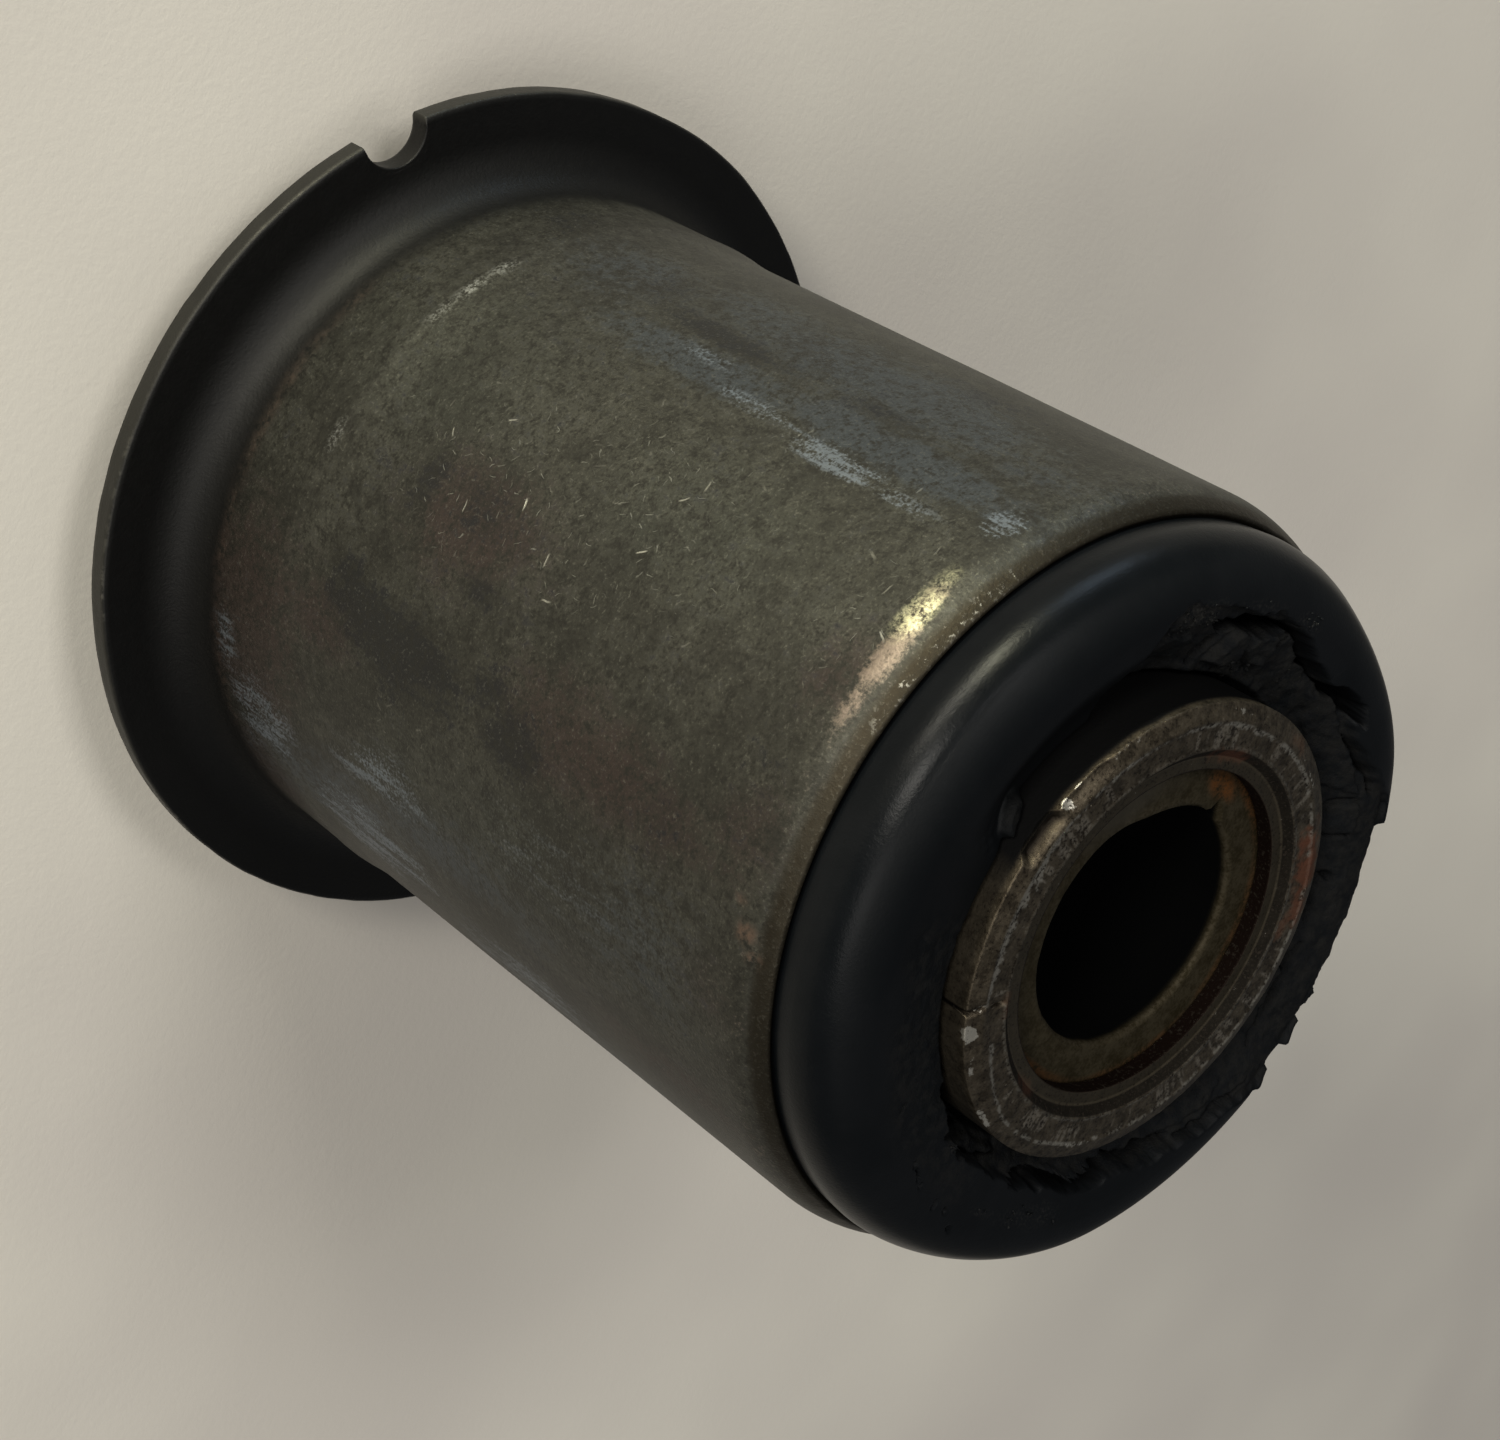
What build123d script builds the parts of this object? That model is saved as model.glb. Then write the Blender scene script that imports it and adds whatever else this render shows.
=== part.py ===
from build123d import *
import math
import os

# A flanged rubber-and-metal bush, in millimetres. The bush axis is Z. It stands on its flange end,
# on the lower face of the inner sleeve, at z = 0. The mouth of the shell is at the top.

# Walls from the bolt outwards
tube_bore = 7.1
tube_wall = 2.4
tube_fit = 0.0
sleeve_wall = 3.9
bond_gap = 0.0
rubber_wall = 7.5
shell_wall = 1.6

# Outer shell: drawn steel tube with a flange
shell_length = 56.3
flange_width = 6.1
root_radius = 3.0
collar_swell = 0.25
collar_length = 11.3
collar_run = 3.0
curl_radius = 4.5
curl_angle = 37.0
notch_radius = 2.3
notch_angle = 225.0

# Inner sleeve: thick rolled tube with toothed ends
sleeve_above = 5.7
sleeve_below = 4.5
ledge_width = 0.75
ledge_depth = 0.5
mouth_bevel = 0.6
lip_width = 1.0
lip_drop = 0.35
tooth_count = 96
tooth_depth = 0.3
tooth_root = 0.12
tooth_land = 0.15
seam_angle = -62.0
seam_width = 0.3
seam_depth = 3.0
chip_start = 249.0
chip_end = 262.0
chip_width = 0.55
chip_depth = 1.1

# Bolt tube: rolled tube pressed into the sleeve, with an open seam in its bore
tube_recess = 1.45
tube_edge = 0.25
groove_angle = 167.0
groove_depth = 1.0
groove_width = 0.8

# Rubber body: bonded between the shell and the sleeve
bulge_above = 4.5
bulge_below = 3.0
shoulder_radius = 3.3
shoulder_overhang = 0.1
dish_drop = 0.45
lip_gap = 0.35
lip_depth = 1.4
edge_crevice = 0.35

# Torn rubber round the sleeve at the mouth: angles in degrees, each with a share of the rubber's wall
tear_outline = [(-40, 0.07), (-24, 0.19), (0, 0.28), (18, 0.32), (30, 0.39), (40, 0.49), (52, 0.59),
                (62, 0.67), (70, 0.81), (82, 0.77), (94, 0.85), (108, 0.79), (122, 0.83), (129, 0.67),
                (137, 0.56), (144, 0.51), (151, 0.56), (159, 0.45), (167, 0.43), (176, 0.56), (184, 0.63),
                (190, 0.59), (199, 0.67), (207, 0.73), (213, 0.63), (218, 0.43), (224, 0.21), (228, 0.07)]
tear_depth_inside = 2.3
tear_depth_outside = 0.7
rim_crack = [(139, 0.52), (147, 0.47), (154, 0.41), (160, 0.35), (168, 0.39), (177, 0.47)]
block_crack = [(182, 0.47), (188, 0.53), (194, 0.52), (199, 0.47), (204, 0.29), (211, 0.21), (219, 0.16)]
lower_crack = [(4, 0.20), (17, 0.27), (30, 0.33), (42, 0.43), (55, 0.51), (66, 0.61)]
crack_width = 0.9
crack_depth = 3.6
torn_block = [(181, 0.24), (184, 0.39), (190, 0.44), (197, 0.40), (202, 0.21), (196, 0.11), (188, 0.12)]
block_top = 0.55

# How far a cutter runs past the face that it cuts
overrun = 1.0

# Radii and heights that follow from the sizes above
sleeve_bore = tube_bore + tube_wall + tube_fit
ledge_radius = sleeve_bore + ledge_width
mouth_radius = ledge_radius + mouth_bevel
sleeve_radius = sleeve_bore + sleeve_wall
tooth_radius = sleeve_radius - lip_width
bond_inside = sleeve_radius + bond_gap
shell_inside = bond_inside + rubber_wall + bond_gap
shell_radius = shell_inside + shell_wall
collar_radius = shell_radius + collar_swell
flange_radius = shell_radius + flange_width
flange_back = sleeve_below
flange_front = flange_back + shell_wall
shell_end = flange_back + shell_length
sleeve_top = shell_end + sleeve_above
rubber_top = shell_end + bulge_above
rubber_bottom = flange_back - bulge_below


def polar(radius, angle):
    """A point on the XY plane from its distance to the axis and its angle in degrees."""
    return (radius * math.cos(math.radians(angle)), radius * math.sin(math.radians(angle)))


def turned(*edges):
    """A solid of revolution about the bush axis from edges drawn on the XZ plane."""
    return revolve(make_face(edges), Axis.Z)


def ragged(points):
    """Corners on the XY plane from angles and shares of the rubber's wall."""
    return [polar(sleeve_radius + share * rubber_wall, angle) for angle, share in points]


def curl_points(radius):
    """Start, middle and end of the shell's inward curl at one distance from its bend centre."""
    centre = shell_radius - curl_radius
    foot = shell_end - curl_radius * math.sin(math.radians(curl_angle))
    return [(centre + radius * math.cos(math.radians(a)), 0, foot + radius * math.sin(math.radians(a)))
            for a in (0, curl_angle / 2, curl_angle)]


def root_points(radius):
    """Start, middle and end of the bend between the flange and the tube."""
    centre_x, centre_z = collar_radius + root_radius, flange_front + root_radius
    return [(centre_x - radius * math.sin(math.radians(a)), 0, centre_z - radius * math.cos(math.radians(a)))
            for a in (0, 45, 90)]


def shell_line(offset):
    """The shell's wall from the flange to the mouth, moved in by the offset."""
    rim = (flange_radius, 0, flange_front - offset)
    root = root_points(root_radius + offset)
    collar_top = (collar_radius - offset, 0, flange_back + collar_length)
    plain_foot = (shell_radius - offset, 0, flange_back + collar_length + collar_run)
    curl = curl_points(curl_radius - offset)
    return rim, root, collar_top, plain_foot, curl


def outer_shell():
    """Drawn in one piece from sheet: flange, root bend, swollen collar, plain tube and curled mouth."""
    rim, root, collar_top, plain_foot, curl = shell_line(0)
    rim_in, root_in, collar_in, plain_in, curl_in = shell_line(shell_wall)
    body = turned(Line(rim, root[0]), ThreePointArc(*root), Line(root[2], collar_top),
                  Line(collar_top, plain_foot), Line(plain_foot, curl[0]), ThreePointArc(*curl),
                  Line(curl[2], curl_in[2]), Line(curl_in[2], curl_in[0]), Line(curl_in[0], plain_in),
                  Line(plain_in, collar_in), Line(collar_in, root_in[2]), ThreePointArc(*reversed(root_in)),
                  Line(root_in[0], rim_in), Line(rim_in, rim))
    notch = Pos(*polar(flange_radius, notch_angle), flange_back) * Cylinder(
        notch_radius, 4 * shell_wall, align=(Align.CENTER, Align.CENTER, Align.CENTER))
    return body - notch


def shoulder(outside, height, up):
    """Three points of the rounded shoulder on the bulging rubber, from its side to its face."""
    bend = [(0, 0), (1 - math.cos(math.radians(45)), math.sin(math.radians(45))), (1, 1)]
    return [(outside - shoulder_radius * x, 0, height + up * shoulder_radius * (z - 1)) for x, z in bend]


def rubber_profile():
    """One section of the rubber, bulging past the shell at both ends and dished towards the sleeve."""
    _, root_in, collar_in, plain_in, curl_in = shell_line(shell_wall)
    curl_out = curl_points(curl_radius)
    share = edge_crevice / shell_wall
    crevice = tuple(o + (i - o) * share for o, i in zip(curl_out[2], curl_in[2]))
    near = shoulder(crevice[0] + shoulder_overhang, rubber_top, 1)
    far = shoulder(root_in[2][0], rubber_bottom, -1)
    lip = (bond_inside + lip_gap, 0, rubber_top - dish_drop)
    lip_foot = (lip[0], 0, lip[2] - lip_depth)
    seat = (bond_inside, 0, lip_foot[2])
    far_lip = (lip[0], 0, rubber_bottom + dish_drop)
    far_foot = (lip[0], 0, far_lip[2] + lip_depth)
    far_seat = (bond_inside, 0, far_foot[2])
    return [Line(seat, lip_foot), Line(lip_foot, lip), Line(lip, near[2]), ThreePointArc(*reversed(near)),
            Line(near[0], crevice), Line(crevice, curl_in[2]), Line(curl_in[2], curl_in[0]),
            Line(curl_in[0], plain_in), Line(plain_in, collar_in), Line(collar_in, root_in[2]),
            Line(root_in[2], far[0]), ThreePointArc(*far), Line(far[2], far_lip), Line(far_lip, far_foot),
            Line(far_foot, far_seat), Line(far_seat, seat)]


def crack(points):
    """A crack along a ragged line, widest in its middle and closed at both ends."""
    last = len(points) - 1
    half = [crack_width / 2 / rubber_wall * math.sin(math.pi * i / last) for i in range(len(points))]
    outer = [(angle, share + h) for (angle, share), h in zip(points, half)]
    inner = [(angle, share - h) for (angle, share), h in zip(points, half)]
    face = make_face(Polyline(*ragged(outer), *ragged(inner[-2:0:-1]), close=True))
    return extrude(Pos(0, 0, rubber_top - crack_depth) * face, crack_depth + overrun)


def torn_hollow():
    """What is torn out of the mouth face: a ragged crescent that slopes down to the sleeve."""
    over = rubber_top + overrun
    deep, shallow = rubber_top - tear_depth_inside, rubber_top - tear_depth_outside
    slope = turned(Polyline((0, 0, over), (0, 0, deep), (sleeve_radius, 0, deep), (shell_inside, 0, shallow),
                            (shell_inside, 0, over), close=True))
    crescent_face = make_face(Polyline(*ragged(tear_outline), (0, 0), close=True))
    crescent = extrude(Pos(0, 0, rubber_top - crack_depth) * crescent_face, crack_depth + overrun)
    block = extrude(make_face(Polyline(*ragged(torn_block), close=True)), rubber_top - block_top)
    return (slope & crescent) - block


def rubber_body():
    """Moulded and bonded in one piece, then torn in service round the sleeve at the mouth."""
    cracks = [crack(line) for line in (rim_crack, block_crack, lower_crack)]
    return turned(*rubber_profile()) - torn_hollow() - cracks


def sleeve_teeth(face, up):
    """Cutters for the ring of shallow radial teeth on one end face."""
    pitch = 2 * math.pi * mouth_radius / tooth_count
    half = (pitch - tooth_root) / 2
    valley = make_face(Polyline((-half, 0), (0, -tooth_depth), (half, 0), close=True))
    start = Plane(origin=(mouth_radius + tooth_land, 0, face), x_dir=(0, up, 0), z_dir=(1, 0, 0))
    cutter = extrude(start * valley, tooth_radius - mouth_radius - 2 * tooth_land)
    return [Rot(0, 0, 360 * i / tooth_count) * cutter for i in range(tooth_count)]


def inner_sleeve():
    """Rolled from thick strip, ends turned: outer lip, toothed band, bevelled mouth and ledge."""
    profile = [(tooth_radius, sleeve_top), (sleeve_radius, sleeve_top - lip_drop), (sleeve_radius, lip_drop),
               (tooth_radius, 0), (mouth_radius, 0), (ledge_radius, ledge_depth), (sleeve_bore, ledge_depth),
               (sleeve_bore, sleeve_top - ledge_depth), (ledge_radius, sleeve_top - ledge_depth),
               (mouth_radius, sleeve_top)]
    body = turned(Polyline(*[(r, 0, z) for r, z in profile], close=True))
    body -= sleeve_teeth(sleeve_top, 1) + sleeve_teeth(0, -1)
    middle = (sleeve_bore + sleeve_radius) / 2
    seam = Box(sleeve_wall + 2 * overrun, seam_width, seam_depth * 2)
    seams = [Rot(0, 0, seam_angle) * Pos(middle, 0, z) * seam for z in (0, sleeve_top)]
    chip_middle = (chip_start + chip_end) / 2
    chip_arc = [polar(sleeve_radius - chip_width, a) for a in (chip_start, chip_middle, chip_end)]
    chip_far = [polar(sleeve_radius + chip_width, a) for a in (chip_end, chip_start)]
    chip = extrude(Pos(0, 0, sleeve_top - chip_depth) * make_face(Polyline(*chip_arc, *chip_far, close=True)),
                   chip_depth + overrun)
    return body - seams - chip


def bolt_tube():
    """Rolled tube in the sleeve's bore, set back at both ends, its seam an open groove in the bore."""
    outside = tube_bore + tube_wall
    low, high = tube_recess, sleeve_top - tube_recess
    profile = [(tube_bore, low + tube_edge), (tube_bore + tube_edge, low), (outside, low), (outside, high),
               (tube_bore + tube_edge, high), (tube_bore, high - tube_edge)]
    body = turned(Polyline(*[(r, 0, z) for r, z in profile], close=True))
    groove = make_face(Polyline((tube_bore - groove_depth, -groove_width), (tube_bore + groove_depth, 0),
                                (tube_bore - groove_depth, groove_width), close=True))
    return body - Rot(0, 0, groove_angle) * extrude(groove, sleeve_top)


pieces = {"outer_shell": outer_shell(), "rubber_body": rubber_body(), "inner_sleeve": inner_sleeve(),
          "bolt_tube": bolt_tube()}
os.makedirs("parts", exist_ok=True)
for name, piece in pieces.items():
    piece.label = name
    export_step(piece, f"parts/{name}.step")
    box = piece.bounding_box()
    print(f"{name}: {piece.volume:.1f} mm3, {len(piece.solids())} solid, valid {piece.is_valid}, "
          f"{box.size.X:.2f} x {box.size.Y:.2f} x {box.size.Z:.2f} mm from z {box.min.Z:.2f}")
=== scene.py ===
import math

import bpy
import numpy as np
from mathutils import Matrix


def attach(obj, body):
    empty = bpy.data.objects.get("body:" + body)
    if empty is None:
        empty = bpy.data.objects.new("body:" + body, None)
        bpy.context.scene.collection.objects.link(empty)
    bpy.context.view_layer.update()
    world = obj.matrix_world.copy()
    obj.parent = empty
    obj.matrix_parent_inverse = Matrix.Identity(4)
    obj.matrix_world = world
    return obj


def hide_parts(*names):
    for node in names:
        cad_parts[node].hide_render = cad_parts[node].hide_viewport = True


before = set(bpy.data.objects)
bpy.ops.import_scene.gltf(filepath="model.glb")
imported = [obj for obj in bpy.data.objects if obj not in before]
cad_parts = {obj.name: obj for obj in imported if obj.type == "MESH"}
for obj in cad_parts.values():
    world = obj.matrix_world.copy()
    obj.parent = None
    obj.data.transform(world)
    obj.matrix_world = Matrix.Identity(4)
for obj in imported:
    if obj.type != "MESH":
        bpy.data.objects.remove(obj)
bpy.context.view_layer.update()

# View: the bush as it is seen in the photograph, looking down on its open mouth.
# A short-tele lens stands about 0.17 m from the bush, turned so that the axis runs down to the right.

eye = (-0.02112, -0.12623, 0.14498)
right = (-0.43469, 0.63691, 0.63671)
down = (0.89019, 0.19681, 0.41088)
forward = (0.13639, 0.74540, -0.65252)


def show(name, data):
    """Puts a camera, lamp or mesh in the scene as an object."""
    made = bpy.data.objects.new(name, data)
    bpy.context.scene.collection.objects.link(made)
    return made


camera = show("camera", bpy.data.cameras.new("camera"))
camera.data.sensor_width = 36
camera.data.lens = 67.89
camera.data.clip_start = 0.01
camera.matrix_world = Matrix([(right[i], -down[i], -forward[i], eye[i]) for i in range(3)] + [(0, 0, 0, 1)])
bpy.context.scene.camera = camera
bpy.context.scene.view_settings.view_transform = "Standard"


# Floor and light: warm pale paper under soft window light.
# Low lamps lay the highlights on the curl and the rubber, higher ones cast the soft shadows,
# and a dim cool sky fills the rest.


class Field:
    """A value that changes over a piece: a node's output that takes part in Python arithmetic."""

    def __init__(self, graph, socket):
        self.graph = graph
        self.socket = socket

    def __add__(self, other):
        return self.graph.maths("ADD", self, other)

    def __sub__(self, other):
        return self.graph.maths("SUBTRACT", self, other)

    def __rsub__(self, other):
        return self.graph.maths("SUBTRACT", other, self)

    def __mul__(self, other):
        return self.graph.maths("MULTIPLY", self, other)

    def __truediv__(self, other):
        return self.graph.maths("DIVIDE", self, other)

    def __pow__(self, other):
        return self.graph.maths("POWER", self, other)

    def __abs__(self):
        return self.graph.maths("ABSOLUTE", self)

    __radd__ = __add__
    __rmul__ = __mul__


class Graph:
    """A node tree that is laid by Python expressions."""

    def __init__(self, tree):
        self.tree = tree
        self.tree.nodes.clear()

    def node(self, kind, settings, sockets, give=0):
        """One node: its settings first, then its sockets' values or links. Gives one of its outputs."""
        made = self.tree.nodes.new(kind)
        for name, value in settings.items():
            setattr(made, name, value)

        def named(group, name):
            if isinstance(name, int):
                return group[name]
            return next(s for s in group if s.name == name and s.enabled)

        for name, value in sockets.items():
            if isinstance(value, Field):
                self.tree.links.new(value.socket, named(made.inputs, name))
            else:
                named(made.inputs, name).default_value = value
        return Field(self, named(made.outputs, give)) if made.outputs else None

    def maths(self, operation, a, b=0.0):
        return self.node("ShaderNodeMath", {"operation": operation}, {0: a, 1: b})

    def vector(self, operation, sockets, give="Vector"):
        return self.node("ShaderNodeVectorMath", {"operation": operation}, sockets, give)

    def apart(self, arrow, other):
        return self.vector("SUBTRACT", {0: arrow, 1: other})

    def scaled(self, arrow, scale):
        return self.vector("SCALE", {0: arrow, "Scale": scale})


class Finish(Graph):
    """A surface finish: one material, or the world. Its tone is the colour laid so far."""

    def __init__(self, owner):
        owner.use_nodes = True
        self.owner = owner
        super().__init__(owner.node_tree)

    def place(self, stretch=(1, 1, 1)):
        """Where a point of the piece lies, in metres, scaled to stretch a pattern."""
        here = self.node("ShaderNodeTexCoord", {}, {}, "Object")
        return self.node("ShaderNodeMapping", {}, {"Vector": here, "Scale": stretch})

    def painted(self, name):
        """A value stored on the mesh's points."""
        return self.node("ShaderNodeAttribute", {"attribute_name": name}, {}, "Fac")

    def clouds(self, size, detail=4.0, rough=0.55, stretch=(1, 1, 1), give=0):
        """Soft blotches from 0 to 1, each about as wide as size in metres."""
        return self.node("ShaderNodeTexNoise", {}, {"Vector": self.place(stretch), "Scale": 1 / size,
                                                    "Detail": detail, "Roughness": rough}, give)

    def step(self, value, low, high):
        """0 at low, 1 at high and smooth between."""
        return self.node("ShaderNodeMapRange", {"interpolation_type": "SMOOTHSTEP"},
                         {"Value": value, "From Min": low, "From Max": high})

    def broken(self, name, pattern, low, high):
        """A value stored on the mesh's points, kept only where a pattern rises."""
        return self.painted(name) * self.step(pattern, low, high)

    def tint(self, share, under, over):
        """One colour over another by a share."""
        a, b = (c if isinstance(c, Field) else (*c, 1) for c in (under, over))
        return self.node("ShaderNodeMix", {"data_type": "RGBA"}, {"Factor": share, "A": a, "B": b}, "Result")

    def coat(self, share, colour):
        """Lays a colour over the tone by a share."""
        self.tone = self.tint(share, self.tone, colour)

    def scratches(self, spacing, length, width, curl):
        """Short scratches in the surface at random places and slants, 1 on a scratch."""
        middle = (0.5, 0.5, 0.5)
        sway = self.apart(self.clouds(length * 1.2, 1, 0.5, give="Color"), middle)
        here = self.vector("ADD", {0: self.place(), 1: self.scaled(sway, curl)})
        cell = {"Vector": here, "Scale": 1 / spacing}
        centre, chance = (self.node("ShaderNodeTexVoronoi", {}, cell, give) for give in ("Position", "Color"))
        facing = self.node("ShaderNodeNewGeometry", {}, {}, "Normal")
        level = []
        for arrow in (self.apart(here, centre), self.apart(chance, middle)):
            off = self.vector("DOT_PRODUCT", {0: arrow, 1: facing}, "Value")
            level.append(self.apart(arrow, self.scaled(facing, off)))
        aim = self.vector("NORMALIZE", {0: level[1]})
        along = self.vector("DOT_PRODUCT", {0: level[0], 1: aim}, "Value")
        reach = self.vector("LENGTH", {0: level[0]}, "Value")
        across = abs(reach * reach - along * along) ** 0.5
        narrow = 1 - self.step(across, width * 0.35, width * 0.8)
        short = 1 - self.step(abs(along), length * 0.2, length * 0.55)
        return narrow * short * self.step(chance, 0.25, 0.9)

    def bumps(self, height, depth):
        """A normal from a height field from 0 to 1 that stands depth metres tall."""
        return self.node("ShaderNodeBump", {}, {"Height": height, "Distance": depth, "Strength": 1.0})

    def surface(self, sockets):
        """Closes the finish with one principled shader in the tone that was laid."""
        shader = self.node("ShaderNodeBsdfPrincipled", {}, {"Base Color": self.tone, **sockets})
        self.node("ShaderNodeOutputMaterial", {}, {"Surface": shader})


paper = Finish(bpy.data.materials.new("paper"))
fibres = paper.clouds(0.0006, 6, 0.7) * 0.6 + paper.clouds(0.004, 3, 0.6) * 0.4
shade = paper.step(paper.clouds(0.09, 3), 0.35, 0.65)
paper.tone = paper.tint(shade, (0.590, 0.552, 0.495), (0.700, 0.665, 0.580))
paper.surface({
    "Roughness": 0.9,
    "Specular IOR Level": 0.2,
    "Normal": paper.bumps(fibres, 0.00004),
})
reach = 3
floor_mesh = bpy.data.meshes.new("floor")
floor_mesh.from_pydata([(-reach, -reach, 0), (reach, -reach, 0), (reach, reach, 0), (-reach, reach, 0)],
                       [], [(0, 1, 2, 3)])
floor_mesh.materials.append(paper.owner)
floor = show("floor", floor_mesh)

sky = Finish(bpy.data.worlds.new("sky"))
bpy.context.scene.world = sky.owner
seen = sky.node("ShaderNodeLightPath", {}, {}, "Is Camera Ray")
backdrop = sky.node("ShaderNodeBackground", {}, {"Color": (0.50, 0.475, 0.41, 1), "Strength": 1.0})
ambient = sky.node("ShaderNodeBackground", {}, {"Color": (0.93, 0.96, 1.0, 1), "Strength": 0.16})
either = sky.node("ShaderNodeMixShader", {}, {0: seen, 1: ambient, 2: backdrop})
sky.node("ShaderNodeOutputWorld", {}, {"Surface": either})
lit_point = np.array((0, 0, 0.035))


def window(name, azimuth, elevation, distance, width, height, watts, colour):
    """A soft rectangular lamp that looks at the middle of the bush from a compass angle and a height."""
    lamp = bpy.data.lights.new(name, "AREA")
    lamp.shape = "RECTANGLE"
    lamp.size = width
    lamp.size_y = height
    lamp.energy = watts
    lamp.color = colour
    a, e = math.radians(azimuth), math.radians(elevation)
    away = np.array((math.cos(a) * math.cos(e), math.sin(a) * math.cos(e), math.sin(e)))
    side = np.array((-math.sin(a), math.cos(a), 0))
    over = np.cross(away, side)
    spot = lit_point + away * distance
    lit = show(name, lamp)
    lit.matrix_world = Matrix([(side[i], over[i], away[i], spot[i]) for i in range(3)] + [(0, 0, 0, 1)])


window("bright_pane", 222, -1.5, 0.60, 0.045, 0.035, 2.1, (1.0, 0.98, 0.72))
window("low_window", 239, -1.0, 0.50, 0.22, 0.05, 1.15, (1.0, 0.95, 0.82))
window("front_window", 259, 22, 0.80, 0.20, 0.20, 3.3, (1.0, 0.96, 0.88))
window("left_window", 300, 42, 0.80, 0.40, 0.40, 2.0, (1.0, 0.97, 0.93))
window("side_window", 190, -1.5, 0.45, 0.18, 0.04, 0.35, (0.62, 0.80, 1.0))
window("top_light", 215, 52, 0.90, 0.26, 0.26, 2.5, (1.0, 0.98, 0.96))


# Painted highlights lie on the ridge and the curl, painted sky reflections on the upper wall, and painted
# shade on the flange's face and the root bend.
# Outer shell: one piece of drawn steel sheet with a flange, a root bend, a swollen collar and a curled mouth.
# Its dull olive-brown phosphate is blotched, and scuffed bright on the ridge, the curl and the flange's rim.
# Sizes are in millimetres, and angles in degrees round the axis.

mm = 0.001
shell_radius = 22.5
shell_wall = 1.6
flange_radius = 28.6
flange_back = 4.5
flange_front = flange_back + shell_wall
rim_corner = 0.25
root_radius = 3.0
collar_radius = 22.75
collar_top = 15.8
plain_foot = 18.8
shell_end = 60.8
curl_radius = 4.5
curl_angle = 37.0
notch_radius = 2.3
notch_angle = 225.0
shell_step = 0.62


def grain(x, y, z, size, seed, octaves=1):
    """Smooth random bumps from -1 to 1, about size apart, at points given in millimetres."""
    count, shift = 32, 57.3
    table = np.random.default_rng(seed).random((count, count, count)) * 2 - 1
    total, share, weight = 0.0, 1.0, 0.0
    for _ in range(octaves):
        spots = [np.asarray(v, float) / size + shift for v in (x, y, z)]
        cells = [np.floor(v).astype(int) for v in spots]
        eased = [(v - c) ** 2 * (3 - 2 * (v - c)) for v, c in zip(spots, cells)]
        value = 0.0
        for i, j, k in np.ndindex(2, 2, 2):
            corner = table[(cells[0] + i) % count, (cells[1] + j) % count, (cells[2] + k) % count]
            value = value + (corner * (eased[0] if i else 1 - eased[0]) * (eased[1] if j else 1 - eased[1])
                             * (eased[2] if k else 1 - eased[2]))
        total = total + value * share
        weight += share
        share *= 0.5
        size *= 0.5
    return total / weight


def rise(value, low, high):
    """0 below low, 1 above high and smooth between, for arrays."""
    t = np.clip((np.asarray(value, float) - low) / (high - low), 0, 1)
    return t * t * (3 - 2 * t)


def spaced(corners, gap):
    """Points along straight runs between corners, each run cut into pieces of about gap."""
    points = []
    for (r0, z0), (r1, z1) in zip(corners, corners[1:]):
        count = max(1, round(math.hypot(r1 - r0, z1 - z0) / gap))
        points += [(r0 + (r1 - r0) * i / count, z0 + (z1 - z0) * i / count) for i in range(count)]
    return points


def bend(centre, radius, start, end, count):
    """Points along an arc on the section, angles in degrees."""
    turn = [math.radians(start + (end - start) * i / count) for i in range(count)]
    return [(centre[0] + radius * math.cos(t), centre[1] + radius * math.sin(t)) for t in turn]


def turned(line, angles):
    """A section turned round the axis: every point's radius, height, angle and place in plan."""
    r = np.repeat(line[None, :, 0], len(angles), 0)
    z = np.repeat(line[None, :, 1], len(angles), 0)
    turns = np.broadcast_to(angles[:, None], r.shape)
    return r, z, turns, (r * np.cos(np.radians(turns)), r * np.sin(np.radians(turns)))


def ring_piece(name, angles, radii, heights, marks, finish, node):
    """A closed ring of sections, one for each angle: its mesh, point marks, finish and place in the frame."""
    across, along = radii.shape
    turn = np.radians(angles)[:, None]
    points = np.stack([radii * np.cos(turn), radii * np.sin(turn), heights], -1).reshape(-1, 3) * mm
    i, j = np.meshgrid(np.arange(across), np.arange(along), indexing="ij")
    i2, j2 = (i + 1) % across, (j + 1) % along
    faces = np.stack([i * along + j, i2 * along + j, i2 * along + j2, i * along + j2], -1).reshape(-1, 4)
    a, b, c = (points[faces[:, k]] for k in (0, 1, 2))
    if (a * np.cross(b, c)).sum() < 0:
        faces = faces[:, ::-1]
    mesh = bpy.data.meshes.new(name)
    mesh.from_pydata(points.tolist(), [], faces.tolist())
    mesh.shade_smooth()
    for mark, values in marks.items():
        stored = mesh.attributes.new(mark, "FLOAT", "POINT")
        stored.data.foreach_set("value", np.broadcast_to(values, radii.shape).astype(np.float32).ravel())
    mesh.materials.append(finish.owner)
    piece = show(name, mesh)
    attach(piece, "root")
    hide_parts(node)
    return piece


def stains(angles, heights, spots, ragged, core=0.55):
    """Blotches on an unrolled wall, each spot an angle, a height, its half sizes and its strength."""
    total = 0.0
    for angle, height, wide, tall, strength in spots:
        apart = (angles - angle + 180) % 360 - 180
        reach = np.sqrt((apart / wide) ** 2 + ((heights - height) / tall) ** 2) + ragged
        total = np.maximum(total, strength * (1 - rise(reach, core, 1.1)))
    return total


def line_mark(values, at, width):
    """A soft line, 1 where the values reach it."""
    return np.exp(-((values - at) / width) ** 2)


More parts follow.
